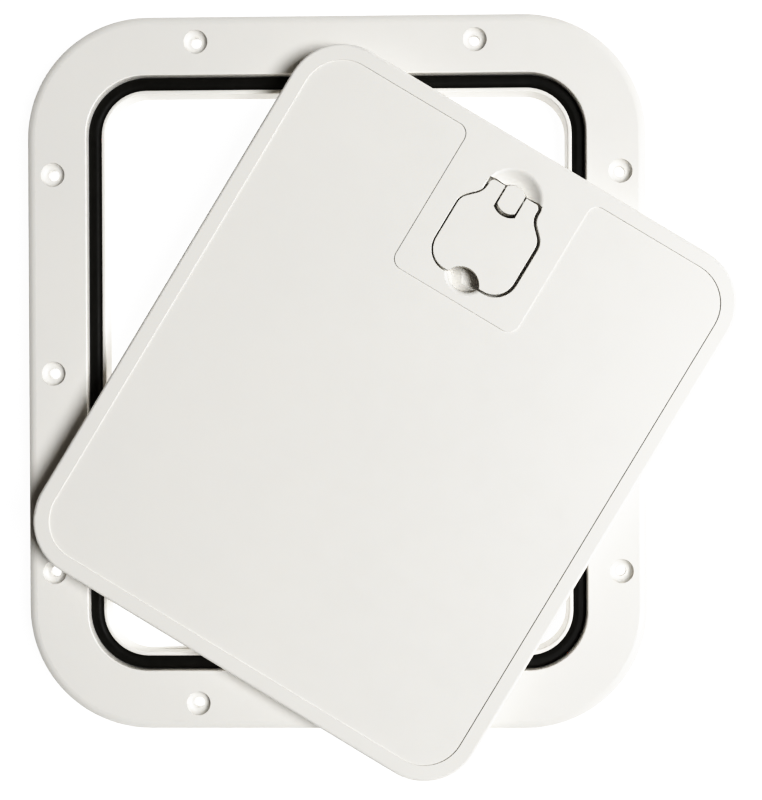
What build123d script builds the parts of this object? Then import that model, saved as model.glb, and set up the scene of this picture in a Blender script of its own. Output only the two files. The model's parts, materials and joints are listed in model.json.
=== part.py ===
"""Deck hatch with a removable lid: frame, seal, lid and lift-and-turn latch.

Millimetres, +Z up. The origin is the centre of the frame on the plane of the flange's underside,
which is the face that beds down on the deck. +Y is the latch side of the frame. The lid is built
in its own coordinates (top face at z = 0, latch side at +Y) and is then laid on the frame, turned
and shifted, which is the rest position.
"""
from build123d import *
from math import asin, degrees, sqrt
import os

# Driving dimensions
FRAME_WIDTH = 326.0
FRAME_LENGTH = 376.0
FRAME_CORNER = 64.0
FLANGE_THICKNESS = 5.0
FLANGE_EDGE = 0.6
CROWN_RADIUS = 7.0
CROWN_WIDTH = 4.2
RECESS_WIDTH = 263.4
RECESS_LENGTH = 314.4
RECESS_CORNER = 31.0
RECESS_EDGE = 0.6
LID_GAP = 1.4
LID_TURN = -31.3
LID_SHIFT_X = 24.8
LID_SHIFT_Y = -21.2

# Frame section, heights counted down from the flange's top face
WALL = 2.5
CHANNEL_DEPTH = 8.0
CHANNEL_FLOOR = 2.5
SEAL_WIDTH = 6.6
SEAL_TOP = 3.7
LIP_TOP = 4.3
LIP_WIDTH = 2.4
SPIGOT_DEPTH = 15.0
KEEPER_LENGTH = 196.0
KEEPER_BOW = 2.3
KEEPER_TOP = 10.6
SEAL_CROWN = 2.6
LIP_OUTER_EDGE = 0.9
LIP_INNER_EDGE = 0.7

# Flange screw holes
HOLE_INSET = 13.5
SIDE_HOLE_PITCH = 105.0
END_HOLE_SPACING = 147.0
HOLE_RADIUS = 2.8
SEAT_RADIUS = 6.3
SEAT_DEPTH = 2.4
SEAT_SAG = 0.85
HOLE_BOSS_RADIUS = 9.0
BEDDING_DEPTH = 1.4
BEDDING_INSET = 6.0

# Lid section, heights counted down from the lid's top face
RIM_THICKNESS = 4.2
RIM_EDGE = 1.6
LID_CORNER = 30.0
PANEL_INSET = 8.4
PANEL_DEPTH = 0.5
ISLAND_WIDTH = 73.0
ISLAND_LENGTH = 88.0
ISLAND_CORNER = 6.0
LINER_BOTTOM = 15.0
LINER_GAP = 4.0
LINER_WALL = 3.0
LINER_SKIN = 2.0
LINER_EDGE = 1.2
RIB_THICKNESS = 2.5
RIB_CLEAR = 0.4
LONG_RIBS_X = (-48.0, 48.0)
CROSS_RIBS_Y = (-68.0, -4.0, 60.0)
FIELD_DEPTH = 0.8
FIELD_CORNER = 6.0
SIDE_FIELD_X = 95.0
SIDE_FIELD_WIDTH = 26.0
SIDE_FIELD_LENGTH = 44.0
MIDDLE_FIELDS_Y = (-84.0, -36.0, 12.0)
MIDDLE_FIELD_WIDTH = 96.0
MIDDLE_FIELD_LENGTH = 34.0
LATCH_ROOM = 3.0
SHELL_GAP = 0.3

# Screws that hold the liner to the cover
LINER_SCREW_X = 72.0
LINER_SCREWS_Y = (-100.0, -36.0, 28.0, 92.0)
POST_RADIUS = 3.5
POST_BOTTOM = 9.5
POST_SEAT_RADIUS = 6.2
POST_SEAT_TOP = 7.5
SCREW_RADIUS = 1.45
SCREW_TOP = 5.2
SCREW_HOLE_RADIUS = 1.7
SCREW_HEAD_RADIUS = 3.4
SCREW_HEAD_HEIGHT = 2.2
SCREW_WELL_RADIUS = 4.4
SCREW_WELL_TOP = 11.6
DRIVE_HALF_WIDTH = 0.4
DRIVE_REACH = 0.65
DRIVE_DEPTH = 1.0
SCREW_HEAD_EDGE = 1.0
SCREW_TIP_ROOM = 0.4
POST_GAP = 0.2

# Rear tongues
TONGUE_X = 60.0
TONGUE_WIDTH = 24.0
TONGUE_TOP = 11.2
TONGUE_THICKNESS = 3.4
TONGUE_ROOT_Y = -124.0
TONGUE_ENGAGEMENT = 6.0
TONGUE_SEAT_Y = -118.0
TONGUE_SCREW_DX = 7.0
TONGUE_SCREW_Y = -131.0
TONGUE_SCREW_RADIUS = 1.65
TONGUE_SCREW_TOP = 6.6
TONGUE_HOLE_TOP = 6.0
TONGUE_CORNER = 5.0
TONGUE_NOSE = 0.9
TONGUE_NOTCH_SPARE = 2.0

# Latch
LATCH_INSET = 28.6
BOWL_BALL = 24.0
BOWL_DEPTH = 5.6
BOWL_FLARE = 3.0
BOWL_SHELL_RADIUS = 17.9
BOWL_SHELL_BOTTOM = 11.5
EAR_ROOM = 5.75
POCKET_DEPTH = 8.0
POCKET_GAP = 1.15
POCKET_OFFSET = 0.45
POCKET_EDGE = 0.3
REST_WIDTH = 2.0
REST_LENGTH = 5.0
REST_X = 21.6
REST_YS = (-34.0, -17.0)
PADDLE_THICKNESS = 5.4
PADDLE_NECK = 14.4
PADDLE_HALF_WIDTH = 23.2
PADDLE_END = 47.6
PADDLE_EAR_END = 4.6
PADDLE_CORNERS = (2.5, 9.0, 8.0, 11.5)
SHOULDER_Y = -3.2
EAR_EDGE = 2.4
PADDLE_SKIN = 2.2
PADDLE_SKIRT = 2.4
CORE_TOP_Y = -14.5
CORE_CORNER = 9.0
CORE_RIB = 1.6
CORE_RIBS_X = (-10.0, 10.0)
SLOT_HALF_WIDTH = 6.3
SLOT_LENGTH = 7.4
SLOT_END_RADIUS = 9.5
LUG_RADIUS = 7.5
LUG_HALF_WIDTH = 5.4
LUG_EDGE = 0.4
LUG_FOOT = 9.0
WELL_GAP = 0.9
WELL_DEPTH = 9.9
PIN_RADIUS = 1.5
PIN_DEPTH = 3.0
PIN_SHORT = 0.6
BITE_RADIUS = 9.9
BITE_Y = -51.0
DISH_RADIUS = 9.6
DISH_FLARE = 2.3
DISH_MIDDLE_DEPTH = 6.8
DISH_SLOPE = 25.0
DISH_SWING = 31.0
DISH_SHELL_BOTTOM = 12.8
DISH_Y = -43.7
SHANK_RADIUS = 5.0
STEM_RADIUS = 4.0
STEM_SHORT = 0.2
SEAL_BORE_WALL = 2.0
SEAL_BORE_DEPTH = 2.0
BUSH_WALL = 1.5
SEAL_SLACK = 0.02
BUSH_FLANGE_RADIUS = 9.0
BUSH_FLANGE = 1.0
CLIP_GROOVE_RADIUS = 4.2
CLIP_RADIUS = 7.4
CLIP_THICKNESS = 0.65
CLIP_GAP = 3.2
BOSS_BOTTOM = 13.0
CAM_TOP = 15.1
CAM_THICKNESS = 4.0
CAM_REACH = 26.0
CAM_WIDTH = 13.0
CAM_HUB_RADIUS = 8.5
CAM_WASHER_THICKNESS = 1.0
LOCK_WASHER_THICKNESS = 0.9
CAM_SCREW_RADIUS = 2.0
CAM_SCREW_TOP = 12.0
CAM_SCREW_HEAD_RADIUS = 4.0
CAM_SCREW_HEAD_HEIGHT = 2.4
CAM_SCREW_EDGE = 1.2
CAM_LEAD_IN = 1.2
CAM_WASHER_RADIUS = 6.5
LOCK_WASHER_RADIUS = 3.9
LOCK_SPLIT = 0.6
LOCK_SPLIT_SLANT = 20.0
RUNNING = 0.05
OVERCUT = 1.0

# Worked out from the driving dimensions
frame_bottom = FLANGE_THICKNESS - SPIGOT_DEPTH
opening_inset = SEAL_WIDTH + LIP_WIDTH + 0.2
opening_width = RECESS_WIDTH - 2 * opening_inset
opening_length = RECESS_LENGTH - 2 * opening_inset
opening_corner = RECESS_CORNER - opening_inset
lid_width = RECESS_WIDTH - 2 * LID_GAP
lid_length = RECESS_LENGTH - 2 * LID_GAP
liner_width = opening_width - 2 * LINER_GAP
liner_length = opening_length - 2 * LINER_GAP
liner_corner = opening_corner - LINER_GAP
latch_y = lid_length / 2 - LATCH_INSET
lid_place = Pos(LID_SHIFT_X, LID_SHIFT_Y, FLANGE_THICKNESS + LINER_BOTTOM) * Rot(0, 0, LID_TURN)
latch_place = Pos(0, latch_y, 0)

side_hole_x = FRAME_WIDTH / 2 - HOLE_INSET
end_hole_y = FRAME_LENGTH / 2 - HOLE_INSET
side_holes = [(x, y) for x in (-side_hole_x, side_hole_x) for y in (-SIDE_HOLE_PITCH, 0, SIDE_HOLE_PITCH)]
end_holes = [(x, y) for x in (-END_HOLE_SPACING / 2, END_HOLE_SPACING / 2) for y in (-end_hole_y, end_hole_y)]
flange_holes = side_holes + end_holes
crown_drop = CROWN_RADIUS - sqrt(CROWN_RADIUS ** 2 - CROWN_WIDTH ** 2)

tongue_tip_y = -opening_length / 2 - TONGUE_ENGAGEMENT
tongue_bottom = -TONGUE_TOP - TONGUE_THICKNESS
well_bottom = -WELL_DEPTH
bush_bottom = -BOSS_BOTTOM - BUSH_FLANGE
clip_top = bush_bottom - 2 * RUNNING
clip_bottom = clip_top - CLIP_THICKNESS
cam_bottom = -CAM_TOP - CAM_THICKNESS
lock_washer_bottom = cam_bottom - CAM_WASHER_THICKNESS - LOCK_WASHER_THICKNESS

liner_screws_at = [(x, y) for x in (-LINER_SCREW_X, LINER_SCREW_X) for y in LINER_SCREWS_Y]


def slab(width, length, corner, low, high):
    """Upright block with rounded corners between two heights."""
    return extrude(Pos(0, 0, low) * RectangleRounded(width, length, corner), amount=high - low)


def round_bar(radius, low, high, x=0.0, y=0.0):
    """Upright cylinder between two heights."""
    return Pos(x, y, low) * extrude(Circle(radius), amount=high - low)


def tube(outer, inner, low, high, x=0.0, y=0.0):
    """Upright tube between two heights."""
    bore = round_bar(inner, low - OVERCUT, high + OVERCUT, x, y)
    return round_bar(outer, low, high, x, y) - bore


def block(x_range, y_range, z_range):
    """Plain box between two values on each axis."""
    size = [high - low for low, high in (x_range, y_range, z_range)]
    centre = [(high + low) / 2 for low, high in (x_range, y_range, z_range)]
    return Pos(*centre) * Box(*size)


def cross_bar(radius, length):
    """Cylinder along X."""
    return Rot(0, 90, 0) * Cylinder(radius, length)


def cross_drive(reach, half_width, low, high):
    """Cross-shaped cutter for a screw's drive."""
    arm = block((-reach, reach), (-half_width, half_width), (low, high))
    return arm + block((-half_width, half_width), (-reach, reach), (low, high))


def countersunk_head(head_radius, shank_radius):
    """Ninety-degree head that stands on its flat face and narrows upwards."""
    depth = head_radius - shank_radius
    return Cone(head_radius, shank_radius, depth, align=(Align.CENTER, Align.CENTER, Align.MIN))


def ball_dish(ball, depth, flare):
    """Cutter for a shallow ball-shaped hollow below z = 0, with a mouth that flares over into the face."""
    middle = ball - depth
    rim_radius = sqrt((ball + flare) ** 2 - (middle + flare) ** 2)
    lean = degrees(asin(rim_radius / (ball + flare)))
    hollow = CenterArc((0, middle), ball, 270, lean)
    rim = CenterArc((rim_radius, -flare), flare, 90 + lean, -lean)
    mouth = Polyline((rim_radius, 0), (rim_radius, OVERCUT), (0, OVERCUT), (0, -depth))
    return revolve(Plane.XZ * make_face(Curve() + [hollow, rim, mouth]), Axis.Z)


def flared_well(radius, depth, flare):
    """Cutter for a straight-sided round hollow below z = 0 whose mouth flares over into the face."""
    rim = CenterArc((radius + flare, -flare), flare, 180, -90)
    rest = Polyline(
        (radius + flare, 0),
        (radius + flare, OVERCUT),
        (0, OVERCUT),
        (0, -depth),
        (radius, -depth),
        (radius, -flare),
    )
    return revolve(Plane.XZ * make_face(Curve() + [rim, rest]), Axis.Z)


def top_edges(shape):
    return shape.faces().sort_by(Axis.Z)[-1].edges()


def bottom_edges(shape):
    return shape.faces().sort_by(Axis.Z)[0].edges()


def edges_at(shape, height, keep):
    """Edges that lie flat at one height and whose centre passes the test."""
    flat = shape.edges().filter_by_position(Axis.Z, height - 0.001, height + 0.001)
    return flat.filter_by(lambda edge: keep(edge.center()))


def all_tongues(make):
    """One result of make(x) for each rear tongue."""
    return [make(x) for x in (-TONGUE_X, TONGUE_X)]


# Frame group

def make_frame():
    top = FLANGE_THICKNESS
    flange = slab(FRAME_WIDTH, FRAME_LENGTH, FRAME_CORNER, 0, top) & flange_crown()
    flange = fillet(edges_at(flange, top - crown_drop, lambda c: True), FLANGE_EDGE)
    flange -= bedding_groove()
    channel_under = top - CHANNEL_DEPTH - CHANNEL_FLOOR
    body = flange + slab(
        RECESS_WIDTH + 2 * WALL, RECESS_LENGTH + 2 * WALL, RECESS_CORNER + WALL, channel_under, top - OVERCUT
    )
    body -= slab(RECESS_WIDTH, RECESS_LENGTH, RECESS_CORNER, top - CHANNEL_DEPTH, top + OVERCUT)
    near_x = RECESS_WIDTH / 2 + OVERCUT
    near_y = RECESS_LENGTH / 2 + OVERCUT
    recess_rim = edges_at(body, top, lambda c: abs(c.X) < near_x and abs(c.Y) < near_y)
    body = fillet(recess_rim, RECESS_EDGE)
    wall_width = opening_width + 2 * LIP_WIDTH
    wall_length = opening_length + 2 * LIP_WIDTH
    inner_wall = slab(wall_width, wall_length, opening_corner + LIP_WIDTH, frame_bottom, top - LIP_TOP)
    inner_wall = fillet(top_edges(inner_wall), LIP_OUTER_EDGE)
    body += inner_wall
    body -= slab(opening_width, opening_length, opening_corner, frame_bottom - OVERCUT, top + OVERCUT)
    body += keeper_rail()
    for notch in all_tongues(tongue_notch):
        body -= notch
    for x, y in flange_holes:
        body -= Pos(x, y, 0) * flange_hole()
    near_x = wall_width / 2
    near_y = wall_length / 2
    lip_inner = edges_at(body, top - LIP_TOP, lambda c: abs(c.X) < near_x and abs(c.Y) < near_y)
    return fillet(lip_inner, LIP_INNER_EDGE)


def flange_crown():
    """Wide block whose round top edge runs out past the flange, so that the flange's edge only slopes."""
    past = CROWN_RADIUS - CROWN_WIDTH
    high = FLANGE_THICKNESS
    wide = slab(
        FRAME_WIDTH + 2 * past, FRAME_LENGTH + 2 * past, FRAME_CORNER + past, high - 2 * CROWN_RADIUS, high
    )
    return fillet(top_edges(wide), CROWN_RADIUS)


def bedding_groove():
    """Shallow sealant groove under the flange, with a land left round each screw hole."""
    groove = slab(
        FRAME_WIDTH - 2 * BEDDING_INSET,
        FRAME_LENGTH - 2 * BEDDING_INSET,
        FRAME_CORNER - BEDDING_INSET,
        0,
        BEDDING_DEPTH,
    )
    groove -= slab(
        RECESS_WIDTH + 4 * WALL, RECESS_LENGTH + 4 * WALL, RECESS_CORNER + 2 * WALL, 0, BEDDING_DEPTH
    )
    for x, y in flange_holes:
        groove -= round_bar(HOLE_BOSS_RADIUS, 0, BEDDING_DEPTH, x, y)
    return groove


def flange_hole():
    """Cutter for a screw hole with a cupped seat for the head."""
    top = FLANGE_THICKNESS
    cup = SagittaArc((SEAT_RADIUS, top), (HOLE_RADIUS, top - SEAT_DEPTH), SEAT_SAG)
    rest = Polyline(
        (HOLE_RADIUS, top - SEAT_DEPTH),
        (HOLE_RADIUS, -OVERCUT),
        (0, -OVERCUT),
        (0, top + OVERCUT),
        (SEAT_RADIUS, top + OVERCUT),
        (SEAT_RADIUS, top),
    )
    return revolve(Plane.XZ * make_face(Curve() + [cup, rest]), Axis.Z)


def keeper_rail():
    """Bowed rail low on the rear wall, which stiffens it where the tongues pull up."""
    wall_y = -opening_length / 2
    half = KEEPER_LENGTH / 2
    bow = ThreePointArc((-half, wall_y), (0, wall_y + KEEPER_BOW), (half, wall_y))
    back_y = wall_y - LIP_WIDTH / 2
    back = Polyline((half, wall_y), (half, back_y), (-half, back_y), (-half, wall_y))
    face = make_face(Curve() + [bow, back])
    return extrude(Pos(0, 0, frame_bottom) * face, amount=SPIGOT_DEPTH - KEEPER_TOP)


def tongue_notch(x):
    """Gap in the rear wall that a tongue hooks through."""
    half = TONGUE_WIDTH / 2 + TONGUE_NOTCH_SPARE
    wall_y = -opening_length / 2
    under = FLANGE_THICKNESS - CHANNEL_DEPTH - CHANNEL_FLOOR
    return block(
        (x - half, x + half),
        (wall_y - LIP_WIDTH - OVERCUT, wall_y + KEEPER_BOW + OVERCUT),
        (frame_bottom - OVERCUT, under),
    )


def make_frame_seal():
    low = FLANGE_THICKNESS - CHANNEL_DEPTH
    high = FLANGE_THICKNESS - SEAL_TOP
    ring = slab(RECESS_WIDTH, RECESS_LENGTH, RECESS_CORNER, low, high)
    ring -= slab(
        RECESS_WIDTH - 2 * SEAL_WIDTH,
        RECESS_LENGTH - 2 * SEAL_WIDTH,
        RECESS_CORNER - SEAL_WIDTH,
        low - OVERCUT,
        high + OVERCUT,
    )
    return fillet(top_edges(ring), SEAL_CROWN)


# Lid group, in the lid's own coordinates

def panel_sink():
    """The sunk field of the panel, which leaves the rim and the latch island standing."""
    width = lid_width - 2 * PANEL_INSET
    length = lid_length - 2 * PANEL_INSET
    corner = LID_CORNER - PANEL_INSET
    half = ISLAND_WIDTH / 2
    island_y = lid_length / 2 - ISLAND_LENGTH
    points = [
        (-width / 2, -length / 2),
        (width / 2, -length / 2),
        (width / 2, length / 2),
        (half, length / 2),
        (half, island_y),
        (-half, island_y),
        (-half, length / 2),
        (-width / 2, length / 2),
    ]
    radii = [corner] * 3 + [ISLAND_CORNER] * 4 + [corner]
    face = make_face(FilletPolyline(*points, radius=radii, close=True))
    return extrude(Pos(0, 0, -PANEL_DEPTH) * face, amount=PANEL_DEPTH + OVERCUT)


def make_lid_cover():
    plate = slab(lid_width, lid_length, LID_CORNER, -RIM_THICKNESS, 0)
    plate = fillet(top_edges(plate), RIM_EDGE)
    plate -= panel_sink()
    cover = plate + latch_place * latch_tub()
    cover -= latch_place * paddle_pocket()
    cover = fillet(pocket_edges(cover), POCKET_EDGE)
    cover += latch_place * paddle_rests()
    for cut in latch_hollows():
        cover -= latch_place * cut
    for x, y in liner_screws_at:
        cover += round_bar(POST_RADIUS, -POST_BOTTOM, -RIM_THICKNESS, x, y)
        cover -= round_bar(SCREW_RADIUS, -POST_BOTTOM - OVERCUT, -RIM_THICKNESS + SCREW_TIP_ROOM, x, y)
    return cover


def latch_tub():
    """Underside shell that the latch's hollows are sunk into."""
    tub_depth = POCKET_DEPTH + WALL
    outline = Pos(POCKET_OFFSET, 0) * offset(paddle_outline(), amount=POCKET_GAP + WALL)
    tub = extrude(Pos(0, 0, -tub_depth) * outline, amount=tub_depth - RIM_THICKNESS)
    tub += round_bar(BOWL_SHELL_RADIUS, -BOWL_SHELL_BOTTOM, -RIM_THICKNESS)
    tub += round_bar(SHANK_RADIUS + 2 * WALL, -BOSS_BOTTOM, -RIM_THICKNESS)
    return tub + round_bar(DISH_RADIUS + WALL, -DISH_SHELL_BOTTOM, -RIM_THICKNESS, 0, DISH_Y)


def paddle_pocket():
    outline = Pos(POCKET_OFFSET, 0) * offset(paddle_outline(), amount=POCKET_GAP)
    return extrude(Pos(0, 0, -POCKET_DEPTH) * outline, amount=POCKET_DEPTH + OVERCUT)


def pocket_edges(cover):
    """Top edges of the cover along the paddle's pocket."""
    reach = PADDLE_HALF_WIDTH + 2 * POCKET_GAP
    low_y = latch_y - PADDLE_END - 2 * POCKET_GAP
    high_y = latch_y + PADDLE_EAR_END + 2 * POCKET_GAP
    return edges_at(cover, 0, lambda c: abs(c.X) < reach and low_y < c.Y < high_y)


def paddle_rests():
    """Four low pads in the pocket, which the paddle's skirt lies on."""
    pads = [
        block(
            (x - REST_WIDTH / 2, x + REST_WIDTH / 2),
            (y - REST_LENGTH / 2, y + REST_LENGTH / 2),
            (-POCKET_DEPTH - OVERCUT, -PADDLE_THICKNESS - RUNNING),
        )
        for x in (-REST_X, REST_X)
        for y in REST_YS
    ]
    return Part() + pads


def latch_hollows():
    """Cutters for the bowl, the room that the ears swing in, the finger dish and the spindle's bores."""
    return [
        ball_dish(BOWL_BALL, BOWL_DEPTH, BOWL_FLARE),
        Pos(0, 0, -PIN_DEPTH) * cross_bar(EAR_ROOM, 2 * (PADDLE_NECK + POCKET_GAP)),
        Pos(0, DISH_Y, 0) * finger_dish(),
        round_bar(LUG_RADIUS + WELL_GAP, well_bottom, 0),
        round_bar(SHANK_RADIUS + SEAL_BORE_WALL, well_bottom - SEAL_BORE_DEPTH, 0),
        round_bar(SHANK_RADIUS + BUSH_WALL, -BOSS_BOTTOM - OVERCUT, 0),
    ]


def finger_dish():
    """Cutter for the finger dish, whose floor slopes down to one side."""
    size = 4 * DISH_RADIUS
    above_floor = Rot(0, -DISH_SLOPE, 0) * block((-size, size), (-size, size), (0, size))
    above_floor = Pos(0, 0, -DISH_MIDDLE_DEPTH) * Rot(0, 0, DISH_SWING) * above_floor
    return flared_well(DISH_RADIUS, 2 * DISH_MIDDLE_DEPTH, DISH_FLARE) & above_floor


def make_lid_liner():
    """Lower shell: skirt, bottom skin, ribs and the seats for the screws and tongues."""
    skin_top = -LINER_BOTTOM + LINER_SKIN
    rib_top = -RIM_THICKNESS - RIB_CLEAR
    liner = slab(liner_width, liner_length, liner_corner, -LINER_BOTTOM, -RIM_THICKNESS)
    liner = fillet(bottom_edges(liner), LINER_EDGE)
    liner -= slab(
        liner_width - 2 * LINER_WALL,
        liner_length - 2 * LINER_WALL,
        liner_corner - LINER_WALL,
        skin_top,
        OVERCUT,
    )
    for rib in liner_ribs(skin_top, rib_top):
        liner += rib
    for seat in all_tongues(lambda x: tongue_seat(x, skin_top, rib_top)):
        liner += seat
    for x, y in liner_screws_at:
        liner += round_bar(POST_SEAT_RADIUS, skin_top, -POST_SEAT_TOP, x, y)
        liner -= round_bar(POST_RADIUS + POST_GAP, -POST_BOTTOM - POST_GAP / 2, 0, x, y)
        liner -= round_bar(SCREW_HOLE_RADIUS, -LINER_BOTTOM, 0, x, y)
        liner -= round_bar(SCREW_WELL_RADIUS, -LINER_BOTTOM - OVERCUT, -SCREW_WELL_TOP, x, y)
    for slot in all_tongues(tongue_slot):
        liner -= slot
    liner -= latch_place * round_bar(SHANK_RADIUS + 2 * WALL + LATCH_ROOM, -LINER_BOTTOM - OVERCUT, OVERCUT)
    bowl_room = round_bar(BOWL_SHELL_RADIUS + SHELL_GAP, -BOWL_SHELL_BOTTOM - SHELL_GAP, OVERCUT)
    liner -= latch_place * bowl_room
    for field in underside_fields():
        liner -= field
    return liner


def liner_ribs(skin_top, rib_top):
    inner_x = liner_width / 2 - OVERCUT
    inner_y = liner_length / 2 - OVERCUT
    half = RIB_THICKNESS / 2
    ribs = [block((x - half, x + half), (-inner_y, inner_y), (skin_top, rib_top)) for x in LONG_RIBS_X]
    for y in CROSS_RIBS_Y:
        ribs.append(block((-inner_x, inner_x), (y - half, y + half), (skin_top, rib_top)))
    return ribs


def tongue_seat(x, skin_top, rib_top):
    half = TONGUE_WIDTH / 2 + LINER_WALL
    return block((x - half, x + half), (OVERCUT - liner_length / 2, TONGUE_SEAT_Y), (skin_top, rib_top))


def tongue_slot(x):
    """Housing for a tongue, open at the rear, with its two screw holes."""
    half = TONGUE_WIDTH / 2 + SHELL_GAP
    slot = block(
        (x - half, x + half),
        (-liner_length / 2 - OVERCUT, TONGUE_ROOT_Y + SHELL_GAP),
        (-LINER_BOTTOM - OVERCUT, -TONGUE_TOP),
    )
    for dx in (-TONGUE_SCREW_DX, TONGUE_SCREW_DX):
        slot += round_bar(SCREW_HOLE_RADIUS, -TONGUE_TOP - OVERCUT, -TONGUE_HOLE_TOP, x + dx, TONGUE_SCREW_Y)
    return slot


def underside_fields():
    """Shallow rounded fields pressed into the liner's underside between the screws."""
    fields = []
    for x in (-SIDE_FIELD_X, SIDE_FIELD_X):
        for y in CROSS_RIBS_Y:
            fields.append(Pos(x, y, 0) * underside_field(SIDE_FIELD_WIDTH, SIDE_FIELD_LENGTH))
    for y in MIDDLE_FIELDS_Y:
        fields.append(Pos(0, y, 0) * underside_field(MIDDLE_FIELD_WIDTH, MIDDLE_FIELD_LENGTH))
    return fields


def underside_field(width, length):
    return slab(width, length, FIELD_CORNER, -LINER_BOTTOM, -LINER_BOTTOM + FIELD_DEPTH)


def make_liner_screw(x, y):
    head_top = -SCREW_WELL_TOP
    head_bottom = head_top - SCREW_HEAD_HEIGHT
    head = round_bar(SCREW_HEAD_RADIUS, head_bottom, head_top)
    head = fillet(bottom_edges(head), SCREW_HEAD_EDGE)
    drive = cross_drive(
        DRIVE_REACH * SCREW_HEAD_RADIUS, DRIVE_HALF_WIDTH, head_bottom - OVERCUT, head_bottom + DRIVE_DEPTH
    )
    return Pos(x, y, 0) * (head - drive + round_bar(SCREW_RADIUS, head_top, -SCREW_TOP))


def make_tongue(x):
    """Flat tongue with a lead-in nose and two countersunk holes."""
    half = TONGUE_WIDTH / 2
    tongue = block((x - half, x + half), (tongue_tip_y, TONGUE_ROOT_Y), (tongue_bottom, -TONGUE_TOP))
    tongue = fillet(tongue.edges().filter_by(Axis.Z).sort_by(Axis.Y)[:2], TONGUE_CORNER)
    nose = tongue.faces().sort_by(Axis.Y)[0].edges().filter_by(Axis.X)
    tongue = chamfer(nose, TONGUE_NOSE)
    for dx in (-TONGUE_SCREW_DX, TONGUE_SCREW_DX):
        hole = round_bar(SCREW_HOLE_RADIUS, tongue_bottom - OVERCUT, 0)
        hole += Pos(0, 0, tongue_bottom) * countersunk_head(SCREW_HEAD_RADIUS, SCREW_HOLE_RADIUS)
        tongue -= Pos(x + dx, TONGUE_SCREW_Y, 0) * hole
    return tongue


def make_tongue_screw(x):
    head_bottom = tongue_bottom + RUNNING
    head_radius = SCREW_HEAD_RADIUS - 2 * RUNNING
    screw = Pos(0, 0, head_bottom) * countersunk_head(head_radius, TONGUE_SCREW_RADIUS)
    screw += round_bar(TONGUE_SCREW_RADIUS, head_bottom + OVERCUT, -TONGUE_SCREW_TOP)
    drive = cross_drive(
        DRIVE_REACH * head_radius, DRIVE_HALF_WIDTH, tongue_bottom - OVERCUT, tongue_bottom + DRIVE_DEPTH
    )
    return Pos(x, TONGUE_SCREW_Y, 0) * (screw - drive)


# Latch group, about the bowl's centre

def make_latch_spindle():
    """Turning spindle: round foot in the bowl's well, upright lug for the paddle, and the cam's stem."""
    lug = round_bar(LUG_RADIUS, -LUG_FOOT, 0)
    lug = fillet(top_edges(lug), LUG_EDGE)
    lug &= block((-LUG_HALF_WIDTH, LUG_HALF_WIDTH), (-LUG_RADIUS, LUG_RADIUS), (-LUG_FOOT, OVERCUT))
    spindle = lug + round_bar(LUG_RADIUS, well_bottom + RUNNING, -LUG_FOOT)
    spindle += round_bar(SHANK_RADIUS, -CAM_TOP + RUNNING, well_bottom + RUNNING)
    spindle += round_bar(STEM_RADIUS, cam_bottom + STEM_SHORT, -CAM_TOP + RUNNING)
    spindle -= tube(SHANK_RADIUS + OVERCUT, CLIP_GROOVE_RADIUS, clip_bottom - RUNNING, clip_top + RUNNING)
    spindle -= round_bar(CAM_SCREW_RADIUS, cam_bottom - OVERCUT, -CAM_SCREW_TOP + SCREW_TIP_ROOM)
    return spindle - Pos(0, 0, -PIN_DEPTH) * cross_bar(PIN_RADIUS + RUNNING, 3 * LUG_RADIUS)


def make_spindle_seal():
    groove_middle = well_bottom - SEAL_BORE_DEPTH / 2
    cord_radius = SEAL_BORE_WALL / 2
    return Pos(0, 0, groove_middle) * Torus(SHANK_RADIUS + cord_radius, cord_radius - SEAL_SLACK)


def make_spindle_bush():
    bore = SHANK_RADIUS + RUNNING
    sleeve = tube(SHANK_RADIUS + BUSH_WALL, bore, -BOSS_BOTTOM, well_bottom - SEAL_BORE_DEPTH - RUNNING)
    return sleeve + tube(BUSH_FLANGE_RADIUS, bore, bush_bottom, -BOSS_BOTTOM)


def make_spindle_clip():
    """Open spring ring in the spindle's groove."""
    clip = tube(CLIP_RADIUS, CLIP_GROOVE_RADIUS + RUNNING, clip_bottom, clip_top)
    half = CLIP_GAP / 2
    low = clip_bottom - OVERCUT
    high = clip_top + OVERCUT
    return clip - block((-half, half), (-CLIP_RADIUS - OVERCUT, 0), (low, high))


def paddle_outline():
    """Flat outline of the flip-up handle, about the bowl's centre, pointing at -Y."""
    shoulder_run = PADDLE_HALF_WIDTH - PADDLE_NECK
    right = [
        (PADDLE_NECK, PADDLE_EAR_END),
        (PADDLE_NECK, SHOULDER_Y),
        (PADDLE_HALF_WIDTH, SHOULDER_Y - shoulder_run),
        (PADDLE_HALF_WIDTH, -PADDLE_END),
    ]
    left = [(-x, y) for x, y in reversed(right)]
    radii = list(PADDLE_CORNERS) + list(reversed(PADDLE_CORNERS))
    return make_face(FilletPolyline(*right, *left, radius=radii, close=True))


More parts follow.
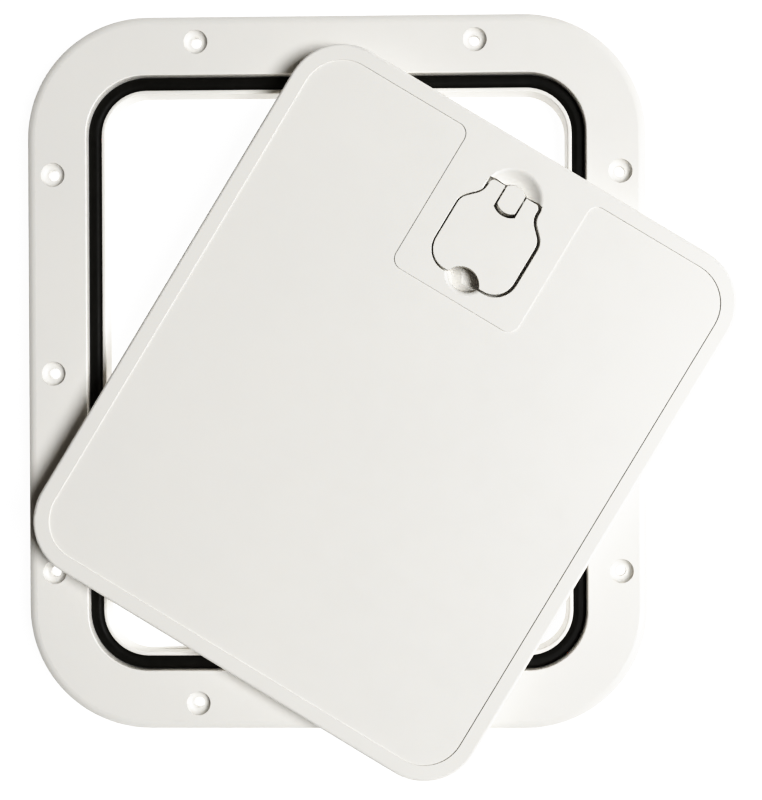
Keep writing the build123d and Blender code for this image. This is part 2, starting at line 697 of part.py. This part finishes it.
def make_paddle():
    paddle = extrude(Pos(0, 0, -PADDLE_THICKNESS) * paddle_outline(), amount=PADDLE_THICKNESS)
    paddle = fillet(top_edges(paddle), POCKET_EDGE)
    ear_sides = edges_at(
        paddle, -PADDLE_THICKNESS, lambda c: c.Y > SHOULDER_Y and abs(c.X) > PADDLE_NECK - RUNNING
    )
    paddle = fillet(ear_sides, EAR_EDGE)
    deep = -PADDLE_THICKNESS - OVERCUT
    slot = block((-SLOT_HALF_WIDTH, SLOT_HALF_WIDTH), (-SLOT_LENGTH, 2 * PADDLE_EAR_END), (deep, OVERCUT))
    end_room = block((-SLOT_HALF_WIDTH, SLOT_HALF_WIDTH), (-2 * SLOT_END_RADIUS, 0), (deep, OVERCUT))
    slot += round_bar(SLOT_END_RADIUS, deep, OVERCUT) & end_room
    paddle -= slot
    paddle -= round_bar(BITE_RADIUS, deep, OVERCUT, 0, BITE_Y)
    paddle -= paddle_core(deep)
    return paddle - Pos(0, 0, -PIN_DEPTH) * cross_bar(PIN_RADIUS, 4 * PADDLE_NECK)


def paddle_core(deep):
    """Hollow under the handle, inside its skirt, crossed by two ribs."""
    low_y = PADDLE_SKIRT - PADDLE_END
    width = 2 * (PADDLE_HALF_WIDTH - PADDLE_SKIRT)
    length = CORE_TOP_Y - low_y
    core = Pos(0, low_y + length / 2, 0) * slab(width, length, CORE_CORNER, deep, -PADDLE_SKIN)
    core -= round_bar(BITE_RADIUS + PADDLE_SKIRT, deep, 0, 0, BITE_Y)
    for x in CORE_RIBS_X:
        core -= block((x - CORE_RIB / 2, x + CORE_RIB / 2), (low_y, CORE_TOP_Y), (deep, 0))
    return core


def make_paddle_pin():
    pin = Cylinder(PIN_RADIUS, 2 * PADDLE_NECK - PIN_SHORT)
    pin = chamfer(pin.edges().filter_by(GeomType.CIRCLE), PIN_SHORT / 2)
    return Pos(0, 0, -PIN_DEPTH) * Rot(0, 90, 0) * pin


def make_cam():
    tip_y = CAM_REACH - CAM_WIDTH / 2
    arm = block((-CAM_WIDTH / 2, CAM_WIDTH / 2), (0, tip_y), (cam_bottom, -CAM_TOP))
    arm += round_bar(CAM_WIDTH / 2, cam_bottom, -CAM_TOP, 0, tip_y)
    cam = arm + round_bar(CAM_HUB_RADIUS, cam_bottom, -CAM_TOP)
    lead_in = edges_at(cam, -CAM_TOP, lambda c: c.Y > CAM_REACH / 2)
    cam = chamfer(lead_in, CAM_LEAD_IN, CAM_LEAD_IN)
    return cam - round_bar(STEM_RADIUS + RUNNING, cam_bottom - OVERCUT, 0)


def make_cam_washer():
    low = cam_bottom - CAM_WASHER_THICKNESS
    return tube(CAM_WASHER_RADIUS, CAM_SCREW_RADIUS + 2 * RUNNING, low, cam_bottom)


def make_cam_lock_washer():
    """Split ring; the split is slanted as in a spring washer."""
    high = lock_washer_bottom + LOCK_WASHER_THICKNESS
    ring = tube(LOCK_WASHER_RADIUS, CAM_SCREW_RADIUS + 3 * RUNNING, lock_washer_bottom, high)
    split = block(
        (-LOCK_SPLIT / 2, LOCK_SPLIT / 2),
        (0, LOCK_WASHER_RADIUS + OVERCUT),
        (-2 * LOCK_WASHER_THICKNESS, 2 * LOCK_WASHER_THICKNESS),
    )
    return ring - Pos(0, 0, (lock_washer_bottom + high) / 2) * Rot(0, LOCK_SPLIT_SLANT, 0) * split


def make_cam_screw():
    head_bottom = lock_washer_bottom - CAM_SCREW_HEAD_HEIGHT
    head = round_bar(CAM_SCREW_HEAD_RADIUS, head_bottom, lock_washer_bottom)
    head = fillet(bottom_edges(head), CAM_SCREW_EDGE)
    reach = DRIVE_REACH * CAM_SCREW_HEAD_RADIUS
    drive = cross_drive(reach, DRIVE_HALF_WIDTH, head_bottom - OVERCUT, head_bottom + DRIVE_DEPTH)
    return head - drive + round_bar(CAM_SCREW_RADIUS - RUNNING, lock_washer_bottom, -CAM_SCREW_TOP)


def main():
    frame_parts = {"frame": make_frame(), "frame_seal": make_frame_seal()}
    tongue_left, tongue_right = all_tongues(make_tongue)
    tongue_screws_at = [x + dx for x in (-TONGUE_X, TONGUE_X) for dx in (-TONGUE_SCREW_DX, TONGUE_SCREW_DX)]
    lid_parts = {
        "lid_cover": make_lid_cover(),
        "lid_liner": make_lid_liner(),
        "liner_screws": Compound(children=[make_liner_screw(x, y) for x, y in liner_screws_at]),
        "tongue_left": tongue_left,
        "tongue_right": tongue_right,
        "tongue_screws": Compound(children=[make_tongue_screw(x) for x in tongue_screws_at]),
    }
    latch_parts = {
        "latch_spindle": make_latch_spindle(),
        "spindle_seal": make_spindle_seal(),
        "spindle_bush": make_spindle_bush(),
        "spindle_clip": make_spindle_clip(),
        "paddle": make_paddle(),
        "paddle_pin": make_paddle_pin(),
        "cam": make_cam(),
        "cam_washer": make_cam_washer(),
        "cam_lock_washer": make_cam_lock_washer(),
        "cam_screw": make_cam_screw(),
    }
    nodes = dict(frame_parts)
    nodes.update({name: lid_place * shape for name, shape in lid_parts.items()})
    nodes.update({name: lid_place * latch_place * shape for name, shape in latch_parts.items()})
    os.makedirs("parts", exist_ok=True)
    for name, shape in nodes.items():
        export_step(shape, f"parts/{name}.step")


main()
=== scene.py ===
"""Looks for the deck hatch: moulded plastic, rubber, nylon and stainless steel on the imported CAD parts."""

import json
import math

import bpy
from mathutils import Euler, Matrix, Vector


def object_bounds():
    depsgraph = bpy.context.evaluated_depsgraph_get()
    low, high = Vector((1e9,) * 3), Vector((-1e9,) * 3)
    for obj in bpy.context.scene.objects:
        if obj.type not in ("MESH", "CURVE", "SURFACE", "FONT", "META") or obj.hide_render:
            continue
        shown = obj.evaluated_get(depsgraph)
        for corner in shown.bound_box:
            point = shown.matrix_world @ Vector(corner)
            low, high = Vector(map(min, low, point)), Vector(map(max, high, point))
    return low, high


MM = 0.001

WHITE = (0.850, 0.828, 0.782)
WHITE_CLOUD = (0.838, 0.818, 0.775)
SPECK_SHADE = 0.72
RUBBER = (0.0090, 0.0082, 0.0060)
RUBBER_BLOOM = (0.0150, 0.0138, 0.0105)
STEEL = (0.55, 0.54, 0.52)
STEEL_BRIGHT = (0.66, 0.65, 0.63)

FLOOR_SIZE = 3.0
FLOOR_DROP = 0.2 * MM
FLOOR_DARK = (0.28, 0.28, 0.28)
FLOOR_LIGHT = (0.30, 0.30, 0.30)
FLOOR_GLOW = 0.95

KEY_DISTANCE = 4.0
KEY_HEIGHT = math.radians(54)
KEY_SWING = math.radians(-10)
KEY_SIZE = (2.0, 2.0)
KEY_POWER = 196.0
KEY_COLOUR = (0.985, 1.0, 1.02)

ROOM_COLOUR = (1.0, 0.88, 0.72)
ROOM_STRENGTH = 0.05
BACKDROP_COLOUR = (0.75, 0.75, 0.75)

TONE_WHITE = 1.15
TONE_POINTS = ((0.09, 0.045), (0.22, 0.19), (0.40, 0.425), (0.62, 0.71), (0.78, 0.89), (0.88, 0.965))

CAMERA_LENS = 50.0
CAMERA_SENSOR = 36.0
CAMERA_CLIP = (0.01, 10.0)
CAMERA_PLACE_MM = (32.9, -12.2, 589.6)
CAMERA_TURN_DEGREES = (-0.245, 0.922, -0.246)

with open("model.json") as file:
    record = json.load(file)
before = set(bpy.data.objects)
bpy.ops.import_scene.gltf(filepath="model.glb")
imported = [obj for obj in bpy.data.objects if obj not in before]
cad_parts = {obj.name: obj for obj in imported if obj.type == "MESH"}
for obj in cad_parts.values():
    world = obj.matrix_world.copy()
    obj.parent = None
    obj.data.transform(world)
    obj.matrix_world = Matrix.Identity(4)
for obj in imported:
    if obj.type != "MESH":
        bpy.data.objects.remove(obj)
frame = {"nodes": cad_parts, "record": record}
cad_low, cad_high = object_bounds()
nodes = frame["nodes"]


# Material building blocks

class Shader:
    """A node material with a Principled surface, built in object space, in metres."""

    def __init__(self, name):
        self.material = bpy.data.materials.new(name)
        self.material.use_nodes = True
        self.tree = self.material.node_tree
        self.surface = self.tree.nodes["Principled BSDF"]
        self.place = self.add("ShaderNodeTexCoord").outputs["Object"]

    def add(self, kind):
        return self.tree.nodes.new(kind)

    def link(self, source, target):
        self.tree.links.new(source, target)

    def noise(self, size, detail=2.0, roughness=0.5, stretch=(1, 1, 1)):
        """Noise whose features are about `size` metres across."""
        mapping = self.add("ShaderNodeMapping")
        mapping.inputs["Scale"].default_value = stretch
        texture = self.add("ShaderNodeTexNoise")
        texture.inputs["Scale"].default_value = 1.0 / size
        texture.inputs["Detail"].default_value = detail
        texture.inputs["Roughness"].default_value = roughness
        self.link(self.place, mapping.inputs["Vector"])
        self.link(mapping.outputs["Vector"], texture.inputs["Vector"])
        return texture.outputs["Fac"]

    def ranged(self, value, low, high, from_low=0.3, from_high=0.7):
        node = self.add("ShaderNodeMapRange")
        node.inputs["From Min"].default_value = from_low
        node.inputs["From Max"].default_value = from_high
        node.inputs["To Min"].default_value = low
        node.inputs["To Max"].default_value = high
        self.link(value, node.inputs["Value"])
        return node.outputs["Result"]

    def mixed(self, factor, first, second):
        node = self.add("ShaderNodeMix")
        node.data_type = "RGBA"
        for socket, value in (("A", first), ("B", second)):
            target = next(i for i in node.inputs if i.name == socket and i.type == "RGBA")
            if isinstance(value, tuple):
                target.default_value = (*value, 1.0)
            else:
                self.link(value, target)
        self.link(factor, node.inputs["Factor"])
        return next(o for o in node.outputs if o.type == "RGBA")

    def bump(self, height, distance, strength, under=None):
        node = self.add("ShaderNodeBump")
        node.inputs["Distance"].default_value = distance
        node.inputs["Strength"].default_value = strength
        self.link(height, node.inputs["Height"])
        if under is not None:
            self.link(under, node.inputs["Normal"])
        return node.outputs["Normal"]

    def set(self, name, value):
        if isinstance(value, bpy.types.NodeSocket):
            self.link(value, self.surface.inputs[name])
        else:
            self.surface.inputs[name].default_value = value


def moulded_plastic(name, roughness):
    """Satin injection-moulded white plastic: faint cloudiness, fine grain, slow waviness and dull patches."""
    shader = Shader(name)
    clouds = shader.ranged(shader.noise(60 * MM, 3.0), 0.0, 1.0)
    base = shader.mixed(clouds, WHITE, WHITE_CLOUD)
    specks = shader.ranged(shader.noise(1.6 * MM, 4.0, 0.7), 0.0, 0.05, 0.55, 0.8)
    base = shader.mixed(specks, base, tuple(SPECK_SHADE * c for c in WHITE))
    shader.set("Base Color", base)
    patches = shader.noise(14 * MM, 3.0, 0.6)
    shader.set("Roughness", shader.ranged(patches, roughness - 0.05, roughness + 0.06))
    wave = shader.bump(shader.noise(22 * MM, 1.0), 0.05 * MM, 0.35)
    grain = shader.noise(0.35 * MM, 3.0, 0.6)
    shader.set("Normal", shader.bump(grain, 0.010 * MM, 0.7, under=wave))
    shader.set("Specular IOR Level", 0.45)
    shader.set("Subsurface Weight", 0.06)
    shader.set("Subsurface Radius", (1.0, 0.9, 0.75))
    shader.set("Subsurface Scale", 0.8 * MM)
    return shader.material


def rubber(name):
    """Soft black rubber with a dull bloom."""
    shader = Shader(name)
    bloom = shader.ranged(shader.noise(5 * MM, 4.0, 0.6), 0.0, 1.0, 0.35, 0.75)
    shader.set("Base Color", shader.mixed(bloom, RUBBER, RUBBER_BLOOM))
    shader.set("Roughness", shader.ranged(shader.noise(2.5 * MM, 3.0), 0.46, 0.62))
    grain = shader.noise(0.25 * MM, 2.0)
    shader.set("Normal", shader.bump(grain, 0.02 * MM, 0.8))
    shader.set("Specular IOR Level", 0.2)
    return shader.material


def filled_nylon(name, colour, dark):
    """Glass-filled nylon: short pale fibre streaks in a slightly rough skin."""
    shader = Shader(name)
    fibres = shader.noise(0.5 * MM, 3.0, 0.7, stretch=(1, 0.15, 1))
    base = shader.mixed(shader.ranged(fibres, 0.0, 1.0, 0.4, 0.7), dark, colour)
    shader.set("Base Color", base)
    shader.set("Roughness", shader.ranged(shader.noise(3 * MM, 3.0), 0.45, 0.62))
    shader.set("Normal", shader.bump(fibres, 0.02 * MM, 0.6))
    return shader.material


def stainless(name):
    """Turned and polished stainless with fine tool marks."""
    shader = Shader(name)
    marks = shader.noise(0.12 * MM, 2.0, 0.6, stretch=(1, 1, 0.2))
    patches = shader.ranged(shader.noise(4 * MM, 3.0), 0.0, 1.0)
    shader.set("Base Color", shader.mixed(patches, STEEL, STEEL_BRIGHT))
    shader.set("Metallic", 1.0)
    shader.set("Roughness", shader.ranged(marks, 0.18, 0.38))
    shader.set("Normal", shader.bump(marks, 0.006 * MM, 0.6))
    return shader.material


def dress_cad_nodes():
    """Give every CAD node the look that its material slot names."""
    by_slot = {
        "frame_plastic": moulded_plastic("frame_plastic_look", 0.40),
        "lid_plastic": moulded_plastic("lid_plastic_look", 0.38),
        "liner_plastic": moulded_plastic("liner_plastic_look", 0.5),
        "latch_plastic": moulded_plastic("latch_plastic_look", 0.36),
        "tongue_plastic": filled_nylon("tongue_plastic_look", (0.66, 0.66, 0.64), (0.56, 0.56, 0.54)),
        "cam_plastic": filled_nylon("cam_plastic_look", (0.45, 0.45, 0.44), (0.34, 0.34, 0.33)),
        "bush_plastic": filled_nylon("bush_plastic_look", (0.035, 0.035, 0.035), (0.02, 0.02, 0.02)),
        "seal_rubber": rubber("seal_rubber_look"),
        "stainless": stainless("stainless_look"),
    }
    for part in frame["record"]["subparts"]:
        node = nodes[part["node"]]
        for material_slot in node.material_slots:
            material_slot.material = by_slot[part["material_slot"]]


# Stage

def make_floor():
    """Plain pale floor, just under the object, that glows a little so that it shows white."""
    half = FLOOR_SIZE / 2
    mesh = bpy.data.meshes.new("floor")
    corners = [(-half, -half, 0), (half, -half, 0), (half, half, 0), (-half, half, 0)]
    mesh.from_pydata(corners, [], [(0, 1, 2, 3)])
    floor = bpy.data.objects.new("floor", mesh)
    floor.location.z = cad_low.z - FLOOR_DROP
    bpy.context.scene.collection.objects.link(floor)
    shader = Shader("floor_look")
    patches = shader.ranged(shader.noise(200 * MM, 2.0), 0.0, 1.0)
    shader.set("Base Color", shader.mixed(patches, FLOOR_DARK, FLOOR_LIGHT))
    shader.set("Roughness", 0.9)
    shader.set("Emission Color", (1.0, 1.0, 1.0, 1.0))
    shader.set("Emission Strength", FLOOR_GLOW)
    mesh.materials.append(shader.material)


def light_stage():
    """One large soft window light from the right, a little towards the near end."""
    level = math.cos(KEY_HEIGHT)
    direction = Vector((level * math.cos(KEY_SWING), level * math.sin(KEY_SWING), math.sin(KEY_HEIGHT)))
    light = bpy.data.lights.new("key", "AREA")
    light.shape = "ELLIPSE"
    light.size, light.size_y = KEY_SIZE
    light.energy = KEY_POWER
    light.color = KEY_COLOUR
    lamp = bpy.data.objects.new("key", light)
    lamp.location = KEY_DISTANCE * direction
    lamp.rotation_euler = (-direction).to_track_quat("-Z", "Y").to_euler()
    bpy.context.scene.collection.objects.link(lamp)


def make_world():
    """Dim warm room light, and a pale backdrop that is seen but gives no light."""
    world = bpy.data.worlds.new("studio")
    world.use_nodes = True
    tree = world.node_tree
    room = tree.nodes["Background"]
    room.inputs["Color"].default_value = (*ROOM_COLOUR, 1.0)
    room.inputs["Strength"].default_value = ROOM_STRENGTH
    backdrop = tree.nodes.new("ShaderNodeBackground")
    backdrop.inputs["Color"].default_value = (*BACKDROP_COLOUR, 1.0)
    either = tree.nodes.new("ShaderNodeMixShader")
    seen_directly = tree.nodes.new("ShaderNodeLightPath").outputs["Is Camera Ray"]
    tree.links.new(seen_directly, either.inputs["Fac"])
    tree.links.new(room.outputs["Background"], either.inputs[1])
    tree.links.new(backdrop.outputs["Background"], either.inputs[2])
    tree.links.new(either.outputs["Shader"], tree.nodes["World Output"].inputs["Surface"])
    bpy.context.scene.world = world


def set_tone_curve():
    """Print-like contrast: slightly deeper shadows and a soft shoulder under white."""
    view = bpy.context.scene.view_settings
    view.view_transform = "Standard"
    view.use_curve_mapping = True
    mapping = view.curve_mapping
    mapping.white_level = (TONE_WHITE, TONE_WHITE, TONE_WHITE)
    combined_curve = mapping.curves[3]
    for shade, tone in TONE_POINTS:
        combined_curve.points.new(shade, tone)
    mapping.update()


def make_camera():
    """Almost straight down from 0.6 m above the hatch, with a small lean and roll."""
    camera = bpy.data.cameras.new("camera")
    camera.sensor_width = CAMERA_SENSOR
    camera.lens = CAMERA_LENS
    camera.clip_start, camera.clip_end = CAMERA_CLIP
    rig = bpy.data.objects.new("camera", camera)
    rig.location = Vector(CAMERA_PLACE_MM) * MM
    rig.rotation_euler = Euler([math.radians(a) for a in CAMERA_TURN_DEGREES], "XYZ")
    bpy.context.scene.collection.objects.link(rig)
    bpy.context.scene.camera = rig


dress_cad_nodes()
make_floor()
light_stage()
make_world()
set_tone_curve()
make_camera()
